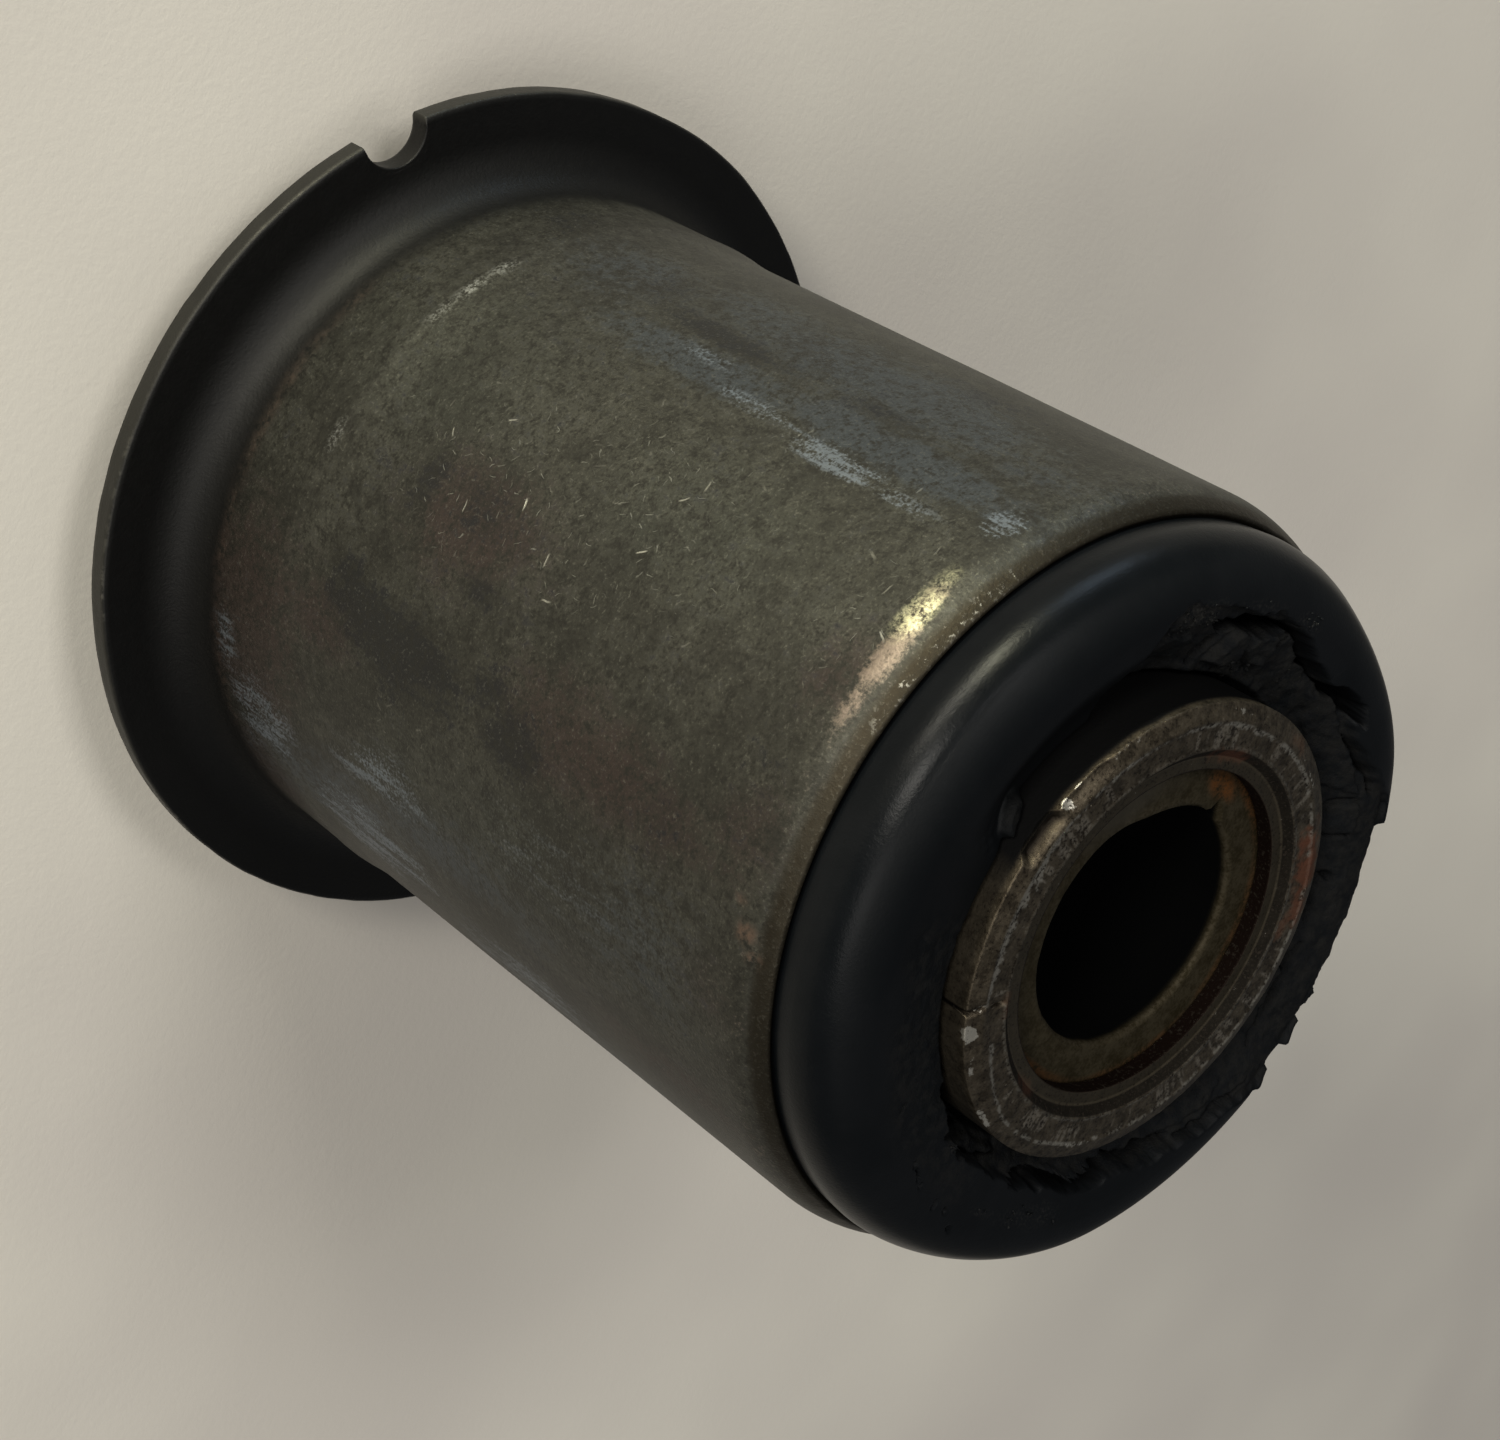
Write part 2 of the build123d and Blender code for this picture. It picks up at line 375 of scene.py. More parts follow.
curl = math.radians(curl_angle)
curl_centre = (shell_radius - curl_radius, shell_end - curl_radius * math.sin(curl))
root_centre = (collar_radius + root_radius, flange_front + root_radius)
outer_line = (spaced([(flange_radius - rim_corner, flange_back), (flange_radius, flange_back + 0.2),
                      (flange_radius, flange_front - 0.15), (flange_radius - 0.15, flange_front),
                      (root_centre[0], flange_front)], 0.3)
              + bend(root_centre, root_radius, 270, 180, 12)
              + spaced([(collar_radius, root_centre[1]), (collar_radius, collar_top)], 0.55)
              + spaced([(collar_radius, collar_top), (shell_radius, plain_foot)], 0.3)
              + spaced([(shell_radius, plain_foot), (shell_radius, curl_centre[1])], 0.6)
              + bend(curl_centre, curl_radius, 0, curl_angle, 11))
mouth = (curl_centre[0] + curl_radius * math.cos(curl), shell_end)
mouth_inside = (mouth[0] - shell_wall * math.cos(curl), mouth[1] - shell_wall * math.sin(curl))
plain_inside = shell_radius - shell_wall
collar_inside = collar_radius - shell_wall
bonded_wall = [mouth_inside, (plain_inside, curl_centre[1]), (plain_inside, plain_foot),
               (collar_inside, collar_top), (collar_inside, root_centre[1])]
inner_line = (spaced([mouth, mouth_inside], 0.2) + bonded_wall
              + bend(root_centre, root_radius + shell_wall, 180, 270, 6)[1:]
              + spaced([(root_centre[0], flange_back), (flange_radius - rim_corner, flange_back)], 0.8))
shell_line = np.array(outer_line + inner_line)
on_outside = np.arange(len(shell_line)) < len(outer_line)

at_notch = notch_angle + 5 * np.sin(np.linspace(-1.5, 1.5, 40))
shell_angles = np.sort(np.concatenate([np.arange(0, 360, shell_step), at_notch]))
shell_r, shell_z, turns, flat = turned(shell_line, shell_angles)

rim_wander = 0.05 * grain(*flat, shell_z, 9, 3) + 0.04 * grain(*flat, shell_z, 1.6, 4, 2) - 0.12
across_notch = np.radians(turns - notch_angle) * flange_radius
notch_bite = np.sqrt(np.clip(notch_radius ** 2 - across_notch ** 2, 0, None))
flange_share = np.clip((shell_r - root_centre[0]) / (flange_radius - root_centre[0]), 0, 1)
shell_r = shell_r + flange_share * (rim_wander * (shell_r > 27) - notch_bite)
shell_z = shell_z + flange_share * 0.12 * grain(*flat, 0, 16, 5)

wall = on_outside & (shell_line[:, 1] > root_centre[1])
dents = 0.035 * grain(*flat, shell_z * 0.6, 7, 6, 2)
ridge = 0.05 * line_mark(shell_z, collar_top + 0.1, 0.22)
shell_r = shell_r + wall * (dents + ridge)
at_mouth = rise(shell_z, shell_end - 0.75, shell_end - 0.05)
burr = np.clip(grain(*flat, 0, 0.7, 7, 2), 0, 1)
shell_z = shell_z + at_mouth * (0.05 * grain(*flat, 0, 4, 8) + 0.16 * burr * burr) * on_outside
shell_r = shell_r + at_mouth * 0.06 * grain(*flat, shell_z, 0.9, 9, 2) * on_outside

tatter = 0.30 * grain(*flat, shell_z, 6, 10, 3) + 0.16 * grain(*flat, shell_z, 1.4, 11, 2)
shell_spot_lists = {
    "dark_stain": [
        (284, 28, 9, 9, 1.0), (286, 39, 7, 4, 0.8), (281, 36, 5, 3, 0.6), (270, 33, 4, 4, 0.7),
        (261, 24.5, 10, 2, 0.7), (259, 30, 8, 5, 0.5), (217, 32, 4, 9, 0.8), (216, 45, 3, 5, 0.5),
        (212, 25, 7, 3, 0.5), (209, 14, 9, 4, 0.5), (281, 22, 7, 3, 0.8), (268, 56, 14, 3, 0.35),
        (280, 51, 14, 4, 0.35), (197, 48, 8, 10, 0.4), (322, 40, 7, 7, 0.4), (60, 38, 18, 10, 0.7),
        (105, 25, 14, 8, 0.7), (150, 45, 12, 7, 0.6), (20, 50, 12, 6, 0.5)],
    "brown_stain": [
        (262, 30, 14, 10, 0.8), (281, 47, 13, 14, 0.8), (277, 57, 12, 4, 0.5), (296, 13, 28, 10, 1.0),
        (325, 11, 20, 8, 0.8), (288, 20, 10, 7, 0.7), (254, 57, 10, 3, 0.5), (300, 57, 10, 4, 0.4),
        (322, 52, 8, 9, 0.6), (350, 25, 20, 14, 0.6), (85, 50, 24, 9, 0.6), (130, 15, 25, 9, 0.7),
        (170, 33, 15, 10, 0.5), (40, 20, 20, 10, 0.6)],
    "green_stain": [
        (304, 38, 13, 16, 0.8), (244, 20, 22, 12, 0.6), (247, 45, 15, 13, 0.7), (308, 53, 10, 6, 0.6),
        (284, 25, 8, 3, 0.5), (110, 45, 20, 10, 0.6), (15, 33, 16, 12, 0.6), (70, 18, 20, 8, 0.5)],
    # Bluish patches: partly a cool tint of the phosphate, partly a painted reflection of blue sky on the
    # upper wall.
    "cool_stain_and_reflection": [
        (222, 48, 6, 14, 1.0), (224, 33, 6, 12, 0.8), (208, 42, 14, 22, 0.7), (212, 22, 12, 8, 0.5),
        (318, 20, 12, 12, 0.7), (312, 34, 10, 14, 0.6), (300, 50, 20, 10, 0.3), (340, 45, 14, 10, 0.5),
        (160, 20, 20, 9, 0.4)],
    # Bright bluish scuffs, partly a painted sky reflection, with a painted blue-white highlight near the
    # curl's top.
    "cool_scuff_and_sky_reflection": [
        (228, 47, 3.0, 5, 0.9), (226.5, 40, 2.2, 5, 0.7), (224, 57.6, 4, 1.5, 1.0), (229, 52, 2.5, 4, 0.5),
        (222, 33, 2.5, 4, 0.5), (312, 14, 12, 5, 0.7), (322, 24, 10, 10, 0.7), (306, 27, 7, 8, 0.5),
        (301, 10.5, 7, 2, 0.6), (330, 38, 10, 12, 0.5), (300, 45, 12, 10, 0.25)],
    # Tan band below the curl: wear, and a painted highlight on the lit side.
    "curl_wear_and_highlight": [
        (240, 58.5, 7, 0.9, 0.8), (248, 58.8, 9, 1.1, 1.0), (256, 58.9, 9, 1.0, 0.7),
        (268, 59.0, 9, 0.8, 0.25), (300, 59.2, 20, 1.2, 0.3), (330, 59.2, 20, 1.3, 0.3),
        (200, 59.4, 24, 1.0, 0.3), (20, 59.3, 40, 1.1, 0.4), (110, 59.3, 50, 1.2, 0.4)],
    # A painted highlight: the bright hot spot on the curl, on a polished patch.
    "polish_and_highlight": [(242, 58.5, 5.0, 0.75, 1.0), (236, 58.3, 3.0, 0.5, 0.4)],
    "scratched": [
        (252, 36, 26, 22, 1.0), (262, 28, 10, 10, 1.0), (228, 47, 9, 14, 0.6), (300, 30, 20, 22, 0.5),
        (245, 56, 25, 6, 0.7), (60, 40, 50, 25, 0.7), (140, 30, 40, 25, 0.7)],
}
rust_spots = [(288.5, 58.9, 2.0, 0.9, 0.8), (291.5, 59.6, 1.6, 0.6, 0.7), (284.8, 58.2, 0.9, 0.5, 0.5),
              (100, 56, 6, 3, 0.6)]
root_rust = (0.45 * line_mark(shell_z, 9.6, 0.5) * on_outside * rise(tatter, -0.25, 0.3)
             * rise(turns, 225, 250) * (1 - rise(turns, 300, 345)))
# Bright streaks on the ridge: partly wear, partly painted highlight streaks on the lit side.
ridge_mark_spots = [(226, 16, 4, 9, 0.6), (232, 16, 4, 9, 0.7), (238, 16, 4, 9, 0.35), (262, 16, 4, 9, 0.4),
               (60, 16, 40, 9, 0.3), (140, 16, 20, 9, 0.4)]
shell_marks = {mark: stains(turns, shell_z, spots, tatter, 0.0) for mark, spots in shell_spot_lists.items()}
shell_marks |= {
    # Bright beads along the mouth's burrs, painted glints on the lit side only.
    "burr_beads_and_glints": line_mark(shell_z, shell_end - 0.45, 0.22) * (shell_r > mouth_inside[0])
    * rise(turns, 226, 232) * (1 - rise(turns, 246, 262)),
    "rust": np.maximum(stains(turns, shell_z, rust_spots, tatter, 0.2), root_rust),
    "ridge_wear_and_highlight": line_mark(shell_z, collar_top + 0.15, 0.32) * wall
    * stains(turns, 16, ridge_mark_spots, tatter * 0.8, 0.0),
    "rim_wear": rise(shell_r, flange_radius - 0.26, flange_radius - 0.12) * on_outside,
    "rim_line": line_mark(shell_z, flange_front - 0.06, 0.10) * (shell_r > flange_radius - 0.2) * on_outside
    * rise(tatter, -0.1, 0.2),
    # Flange face and root bend near-black: partly a darker finish, partly painted shade.
    "root_black_and_shade": (1 - rise(shell_z + 0.5 * tatter, 8.5, 11.0)) * on_outside,
    "mouth_edge": rise(shell_z + 0.4 * tatter, shell_end - 1.15, shell_end - 0.75)
    * (shell_r > mouth_inside[0]),
}

steel = Finish(bpy.data.materials.new("phosphated_steel"))
crystals = steel.clouds(0.00065, 5, 0.72)
speckle = steel.clouds(0.00020, 3, 0.65)
drawn = steel.clouds(0.00050, 4, 0.65, stretch=(1, 1, 0.10))
blotch = steel.clouds(0.0055, 5, 0.65)
mottle = steel.clouds(0.0024, 6, 0.72)
ragged = (crystals - 0.5) * 1.5 + (blotch - 0.5) * 0.8 + (drawn - 0.5) * 0.6
steel.tone = steel.tint(steel.step(blotch, 0.38, 0.62), (0.029, 0.028, 0.0215), (0.045, 0.044, 0.034))
steel.coat(steel.painted("green_stain") * 0.6, (0.040, 0.043, 0.033))
steel.coat(steel.step(mottle, 0.52, 0.66) * 0.55, (0.021, 0.020, 0.016))
steel.coat(steel.step(mottle, 0.48, 0.34) * 0.30, (0.068, 0.066, 0.052))
steel.coat(steel.step(steel.painted("brown_stain") + ragged, 0.10, 0.80) * 0.8, (0.037, 0.025, 0.021))
# Bluish patches: part cool tint, part painted sky reflection.
steel.coat(steel.step(steel.painted("cool_stain_and_reflection") + ragged, 0.05, 0.75) * 0.8, (0.044, 0.051, 0.056))
dark = steel.painted("dark_stain") + ragged * 1.5
steel.coat(steel.step(dark, 0.25, 0.70) * 0.85, (0.013, 0.013, 0.013))
steel.coat(1 - steel.step(crystals * 0.6 + speckle * 0.4, 0.38, 0.54), (0.019, 0.018, 0.014))
steel.coat(steel.step(speckle * 0.7 + crystals * 0.3, 0.54, 0.70) * 0.50, (0.120, 0.117, 0.094))
# Bright bluish streaks: real scuffs plus a painted sky reflection.
scuff_and_reflection_share = steel.painted("cool_scuff_and_sky_reflection")
streaks = steel.step(drawn * 0.5 + speckle * 0.5 + scuff_and_reflection_share * 0.14, 0.52, 0.66) * steel.step(scuff_and_reflection_share, 0, 0.5)
steel.coat(streaks * 0.55, (0.190, 0.220, 0.250))
scratched = steel.painted("scratched")
hairs = steel.scratches(0.0010, 0.0005, 0.00005, 0.0005) * steel.step(scratched + blotch, 0.75, 1.3)
nicks = steel.scratches(0.0034, 0.0008, 0.00009, 0.0004) * steel.step(scratched + blotch, 0.80, 1.35)
steel.coat(hairs * 0.5, (0.24, 0.24, 0.20))
steel.coat(nicks * 0.8, (0.42, 0.41, 0.34))
# Tan band below the curl: wear, with a painted highlight on the lit side.
wear = steel.step(steel.painted("curl_wear_and_highlight") + (crystals - 0.5) * 1.4 + (speckle - 0.5), 0.30, 1.0)
steel.coat(wear * 0.75, (0.190, 0.148, 0.115))
# Ridge streaks: part wear, part painted highlight.
steel.coat(steel.broken("ridge_wear_and_highlight", speckle * 0.6 + crystals * 0.4, 0.46, 0.58), (0.33, 0.335, 0.31))
# Flange face and root bend near-black: part darker finish, part painted shade.
black = steel.painted("root_black_and_shade")
steel.coat(black * (0.98 - steel.step(speckle, 0.66, 0.8) * 0.12), (0.0068, 0.0066, 0.0060))
steel.coat(steel.painted("rim_wear"), (0.026, 0.025, 0.021))
steel.coat(steel.broken("rim_line", crystals, 0.48, 0.62) * 0.6, (0.20, 0.19, 0.16))
worn_end = steel.painted("mouth_edge")
steel.coat(worn_end * (1.2 - crystals * 0.6), (0.026, 0.0215, 0.0140))
steel.coat(worn_end * steel.step(speckle, 0.56, 0.68) * 0.5, (0.070, 0.064, 0.048))
# Bright beads on the burrs: painted glints on the lit side.
steel.coat(steel.broken("burr_beads_and_glints", crystals * 0.7 + speckle * 0.3, 0.55, 0.62), (0.30, 0.29, 0.25))
# Painted highlight: a bright greenish-yellow spot on the curl, which is also smoother there.
polish_and_highlight = steel.broken("polish_and_highlight", crystals * 0.5 + speckle * 0.5, 0.38, 0.62)
steel.coat(polish_and_highlight, (0.62, 0.60, 0.37))
rusted = steel.broken("rust", crystals, 0.36, 0.60)
steel.coat(rusted * 0.8, (0.075, 0.036, 0.018))
relief = crystals * 0.45 + speckle * 0.55 - hairs * 0.6 - nicks * 1.2
steel.surface({
    "Metallic": 0.72 - rusted * 0.5 + worn_end * 0.2,
    "Roughness": 0.44 + crystals * 0.16 + rusted * 0.3 - wear * 0.08 - nicks * 0.1 - polish_and_highlight * 0.12,
    "Normal": steel.bumps(relief, 0.000045),
})
ring_piece("outer_shell_skin", shell_angles, shell_r, shell_z, shell_marks, steel,
           "outer_shell")


class Growth(Graph):
    """A geometry tree with named sizes that grows small parts on a ring or on a face."""

    def __init__(self, name, sizes):
        super().__init__(bpy.data.node_groups.new(name, "GeometryNodeTree"))
        faces = self.tree.interface
        faces.new_socket("Geometry", in_out="INPUT", socket_type="NodeSocketGeometry")
        faces.new_socket("Geometry", in_out="OUTPUT", socket_type="NodeSocketGeometry")
        for label, kind in sizes.items():
            faces.new_socket(label, in_out="INPUT", socket_type="NodeSocket" + kind)
        self.entry = self.tree.nodes.new("NodeGroupInput")

    def size(self, label):
        return Field(self, self.entry.outputs[label])

    def chance(self, low, high, seed):
        """A random number between two for each part."""
        between = {"Min": low, "Max": high, "Seed": seed}
        return self.node("FunctionNodeRandomValue", {"data_type": "FLOAT"}, between, "Value")

    def arrow(self, x, y, z):
        return self.node("ShaderNodeCombineXYZ", {}, {"X": x, "Y": y, "Z": z})

    def scatter(self, points, turn, scale, crush):
        """Rough grains of the finish on the points, ready as one mesh."""
        grain_mesh = self.node("GeometryNodeMeshIcoSphere", {}, {"Radius": 0.5, "Subdivisions": 2}, "Mesh")
        rotation = self.node("FunctionNodeEulerToRotation", {}, {"Euler": turn})
        grains = self.node("GeometryNodeInstanceOnPoints", {}, {"Points": points, "Instance": grain_mesh,
                                                               "Rotation": rotation, "Scale": scale})
        bright = self.node("GeometryNodeStoreNamedAttribute", {"data_type": "FLOAT", "domain": "INSTANCE"}, {
            "Geometry": grains, "Name": "crushed", "Value": self.chance(0.0, 1.0, 9)})
        real = self.node("GeometryNodeRealizeInstances", {}, {"Geometry": bright})
        here = self.node("GeometryNodeInputPosition", {}, {})
        coarse = {"Vector": here, "Scale": 1 / (2.2 * crush), "Detail": 1.0}
        swirl = self.node("ShaderNodeTexNoise", {}, coarse, "Color")
        push = self.scaled(self.apart(swirl, (0.5, 0.5, 0.5)), crush)
        rough = self.node("GeometryNodeSetPosition", {}, {"Geometry": real, "Offset": push})
        smooth = self.node("GeometryNodeSetShadeSmooth", {}, {"Geometry": rough})
        done = self.node("GeometryNodeSetMaterial", {}, {"Geometry": smooth, "Material": self.size("Finish")})
        self.node("NodeGroupOutput", {}, {"Geometry": done})

    def grow(self, name, ground, sizes, slot):
        """Runs the tree on a ground mesh and keeps the result as a plain piece."""
        piece = show(name, ground)
        live = piece.modifiers.new(name, "NODES")
        live.node_group = self.tree
        for socket in self.tree.interface.items_tree:
            if socket.in_out == "INPUT" and socket.name in sizes:
                live[socket.identifier] = sizes[socket.name]
        plain = bpy.data.meshes.new_from_object(piece.evaluated_get(bpy.context.evaluated_depsgraph_get()))
        piece.modifiers.clear()
        piece.data = plain
        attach(piece, "root")


crushed_ring = Growth("crushed_ring", {
    "Count": "Int", "Radius": "Float", "Height": "Float", "Length": "Float", "Width": "Float",
    "Depth": "Float", "Scatter": "Float", "Finish": "Material"})
size, chance = crushed_ring.size, crushed_ring.chance
index = crushed_ring.node("GeometryNodeInputIndex", {}, {})
angle = (index + chance(-0.35, 0.35, 1)) / size("Count") * (2 * math.pi)
away = size("Radius") + size("Scatter") * chance(-1.0, 1.0, 2)
row = crushed_ring.node("GeometryNodePoints", {}, {"Count": size("Count"), "Position": crushed_ring.arrow(
    crushed_ring.maths("COSINE", angle) * away, crushed_ring.maths("SINE", angle) * away, size("Height"))})
crushed_ring.scatter(
    row, crushed_ring.arrow(0.0, chance(-0.06, 0.06, 3), angle + chance(-0.16, 0.16, 4)),
    crushed_ring.arrow(size("Length") * chance(0.45, 1.15, 5), size("Width") * chance(0.5, 1.3, 6),
                       size("Depth") * chance(0.25, 1.2, 7)), 0.00016)
crushed_ring.grow("mouth_burrs", bpy.data.meshes.new("mouth_burrs"), {
    "Count": 150, "Radius": (mouth[0] - 0.55) * mm, "Height": (shell_end - 0.42) * mm, "Length": 0.22 * mm,
    "Width": 0.34 * mm, "Depth": 0.20 * mm, "Scatter": 0.10 * mm, "Finish": steel.owner}, "shell_steel")


# Inner sleeve: thick rolled steel tube, bonded in the rubber, whose ends are toothed to bite their bracket.
# The teeth are crushed flat and bright, an open butt seam and a broken lip show at the mouth, and rust has
# crept over one side.

sleeve_radius = 13.4
sleeve_bore = 9.5
sleeve_top = 66.5
tooth_radius = 12.45
mouth_radius = 10.85
ledge_radius = 10.25
ledge_depth = 0.5
lip_drop = 0.35
seam_angle = -62.0
sleeve_step = 0.375
face_gap = 0.105
plain_top = 61
detail_foot = 64.8
bore_top = 65.0
tooth_pitches = 148

sleeve_line = np.array(
    spaced([(sleeve_radius, 4), (sleeve_radius, plain_top)], 9)
    + spaced([(sleeve_radius, plain_top), (sleeve_radius, detail_foot)], 0.4)
    + spaced([(sleeve_radius, detail_foot), (sleeve_radius, sleeve_top - lip_drop),
              (tooth_radius, sleeve_top), (mouth_radius, sleeve_top),
              (ledge_radius, sleeve_top - ledge_depth), (sleeve_bore, sleeve_top - ledge_depth),
              (sleeve_bore, bore_top)], face_gap)
    + spaced([(sleeve_bore, bore_top), (sleeve_bore, ledge_depth)], 9)
    + spaced([(sleeve_bore, ledge_depth), (ledge_radius, ledge_depth), (mouth_radius, 0), (tooth_radius, 0),
              (sleeve_radius, lip_drop), (sleeve_radius, 4)], 0.5))
sleeve_angles = np.arange(0, 360, sleeve_step)
sleeve_r, sleeve_z, turns, flat = turned(sleeve_line, sleeve_angles)
face = rise(sleeve_z, sleeve_top - 0.8, sleeve_top - 0.3) * (sleeve_r > ledge_radius)
wander = grain(*flat, 0, 2.4, 20, 2)
crumple = grain(*flat, 0, 0.35, 19, 2)

# The toothed band is pressed a little lower than the smooth outer band, and its step is a bright ragged line.
line_at = np.interp(
    turns, [0, 60, 100, 130, 150, 180, 195, 255, 270, 284, 297, 312, 320, 327, 335, 345, 360],
    [12.4, 12.4, 12.45, 12.2, 12.35, 12.1, 12.35, 12.5, 12.4, 12.35, 12.3, 11.9, 12.05, 12.25, 12.5, 12.6,
     12.45])
line_at = line_at + 0.10 * wander
toothing = 0.5 + 0.5 * np.sin(np.radians(turns) * tooth_pitches + 4 * grain(*flat, 0, 2.0, 21))
spread = np.interp(turns, [0, 90, 190, 225, 255, 262, 285, 293, 300, 312, 322, 360],
                   [0.10, 0.10, 0.16, 0.10, 0.22, 0.50, 0.45, 0.2, 0.05, 0.20, 0.10, 0.12])
into_band = line_at - sleeve_r
band = rise(into_band, -0.05, 0.15) * rise(sleeve_r, mouth_radius, mouth_radius + 0.2)
sleeve_z = sleeve_z - face * band * (0.055 + 0.014 * toothing * rise(wander, -0.4, 0.5))
chipped = rise(turns, 248, 250.5) * (1 - rise(turns, 259.5, 263)) * rise(sleeve_r, 12.75, 12.95)
sleeve_z = sleeve_z - face * chipped * (0.62 + 0.10 * grain(*flat, 0, 0.5, 24, 2))
dropped = rise(turns, 231, 235) * (1 - rise(turns, 246.5, 248.5)) * rise(sleeve_r, 12.6, 13.2)
sleeve_z = sleeve_z - face * dropped * 0.22
from_seam = (turns - seam_angle + 180) % 360 - 180
seam_line = np.abs(from_seam + 0.9 * grain(sleeve_r, 0, 0, 0.9, 25)) * sleeve_r * math.pi / 180
seam_open = rise(sleeve_r, 12.2, 12.9) + 0.55 * rise(sleeve_r, 10.9, 11.2) * (1 - rise(sleeve_r, 11.7, 12.0))
seam_cut = (1 - rise(seam_line, 0.06, 0.20)) * np.clip(seam_open, 0, 1)
sleeve_z = sleeve_z - seam_cut * 1.0 * rise(sleeve_z, 63, 65)
sleeve_z = sleeve_z + face * 0.030 * grain(*flat, 0, 0.6, 26, 2)
sleeve_z = np.minimum(sleeve_z, sleeve_top)

ragged = 0.22 * grain(*flat, sleeve_z, 0.9, 27, 2) + 0.55 * crumple
streaky = grain(np.cos(np.radians(turns)) * 12, np.sin(np.radians(turns)) * 12, sleeve_r / 5, 0.26, 29, 2)
in_teeth = stains(turns, sleeve_r, [
    (194, 11.6, 9, 0.9, 1.0), (204, 11.5, 2, 0.9, 0.8), (236, 11.6, 3.5, 1.0, 0.8), (250, 11.5, 8, 1.1, 1.1),
    (262, 11.8, 4, 0.9, 0.7), (294, 11.6, 2.5, 0.9, 0.5), (312, 11.5, 2, 0.7, 0.5), (332, 11.7, 4, 0.7, 0.7),
    (348, 11.5, 9, 0.8, 1.1), (5, 11.8, 8, 0.8, 0.7), (60, 12.0, 50, 1.2, 0.5), (145, 11.8, 9, 1.0, 0.7),
    (158, 11.5, 4, 0.9, 0.8), (169, 11.8, 6, 0.8, 0.6)], 0, 0.3)
line_width = spread * (0.6 + toothing * 0.35 + crumple)
line_breaks = rise(crumple + 0.6 * wander + 0.5 * rise(spread, 0.1, 0.3), -0.45, 0.1)
mouth_shine = np.interp(turns, [0, 20, 55, 110, 135, 180, 200, 240, 258, 290, 303, 360],
                        [0.8, 0.8, 1.0, 1.0, 0.6, 0.6, 0.35, 0.7, 0.5, 0.3, 0.8, 0.9])
rust_spots = [
    (119, 12.3, 13, 1.3, 1.0), (128, 12.0, 7, 1.3, 1.0), (108, 12.4, 7, 1.0, 0.9), (103, 11.4, 5, 0.6, 0.6),
    (162, 12.9, 6, 0.5, 0.35), (300, 10.6, 7, 0.6, 0.4), (336, 10.4, 9, 0.5, 0.3), (186, 10.4, 12, 0.7, 0.5)]
scuff_spots = [
    (304.3, 13.0, 3.2, 0.50, 0.9), (298, 12.7, 1.8, 0.40, 0.6), (243, 13.6, 7, 0.30, 0.8),
    (246.6, 13.2, 2.0, 0.45, 1.0), (314, 13.15, 3.5, 0.26, 0.5), (331, 13.25, 7, 0.26, 0.5),
    (228, 13.3, 6, 0.25, 0.4), (188, 12.95, 10, 0.2, 0.4), (10, 12.5, 12, 0.25, 0.4),
    (150, 12.6, 8, 0.22, 0.45)]
sleeve_marks = {
    "crushed": band * face * rise(streaky + 0.5 * in_teeth, 0.30, 0.55) * rise(in_teeth, 0.0, 0.4),
    "bright_line": face * rise(into_band, -0.10, -0.02) * (1 - rise(into_band, line_width, line_width + 0.1))
    * line_breaks * (1 - (turns > 298) * (turns < 310)),
    "mouth_line": face * line_mark(sleeve_r, mouth_radius + 0.08 + 0.05 * wander, 0.09) * mouth_shine
    * rise(crumple, -0.5, 0.0),
    "bright_scuff": stains(turns, sleeve_r, scuff_spots, ragged, 0.2) * face,
    "rust": stains(turns, sleeve_r, rust_spots, ragged, 0.2),
    "seam": seam_cut,
    "chip": chipped * face,
    # Near-black on the outer wall: partly rubber film bonded on it, partly painted shade in the groove beside
    # the rubber.
    "film_and_shade": (1 - rise(sleeve_z + 0.35 * wander, sleeve_top - 0.95, sleeve_top - 0.55)) * (sleeve_r > 13.2)
    * np.interp(turns, [0, 150, 175, 262, 272, 300, 330, 360], [1.0, 1.0, 1.0, 1.0, 0.25, 0.15, 0.6, 1.0]),
    # The outer wall below the face is painted darker: painted shade beside the rubber.
    "outer_wall": (1 - rise(sleeve_z, sleeve_top - 1.0, sleeve_top - 0.3)) * (sleeve_r > 12.9),
    # The bevel down into the recess: painted shade.
    "bevel": rise(sleeve_r, ledge_radius - 0.05, ledge_radius + 0.05)
    * (1 - rise(sleeve_r, mouth_radius - 0.08, mouth_radius)),
    "ledge": (sleeve_r < ledge_radius + 0.08) * rise(sleeve_r, sleeve_bore + 0.02, sleeve_bore + 0.10),
    # The recess wall down to the bolt tube: painted shade.
    "groove": (sleeve_r < sleeve_bore + 0.05) * 1.0,
}

worn = Finish(bpy.data.materials.new("worn_sleeve_steel"))
coarse = worn.clouds(0.0009, 5, 0.68)
fine = worn.clouds(0.00020, 3, 0.65)
both = fine * 0.6 + coarse * 0.4
worn.tone = worn.tint(worn.step(coarse, 0.34, 0.66), (0.037, 0.030, 0.021), (0.078, 0.064, 0.045))
worn.coat(worn.step(fine * 0.7 + coarse * 0.3, 0.50, 0.68) * 0.5, (0.125, 0.106, 0.078))
# Painted shade on the outer wall below the face.
worn.coat(worn.painted("outer_wall") * 0.6, (0.032, 0.027, 0.019))
# The bevel into the recess is painted near-black: painted shade.
shaded = worn.painted("bevel")
worn.coat(shaded * (1.0 - fine * 0.2), (0.0030, 0.0026, 0.0020))
worn.coat(worn.painted("ledge") * (1 - fine * 0.3), (0.048, 0.040, 0.027))
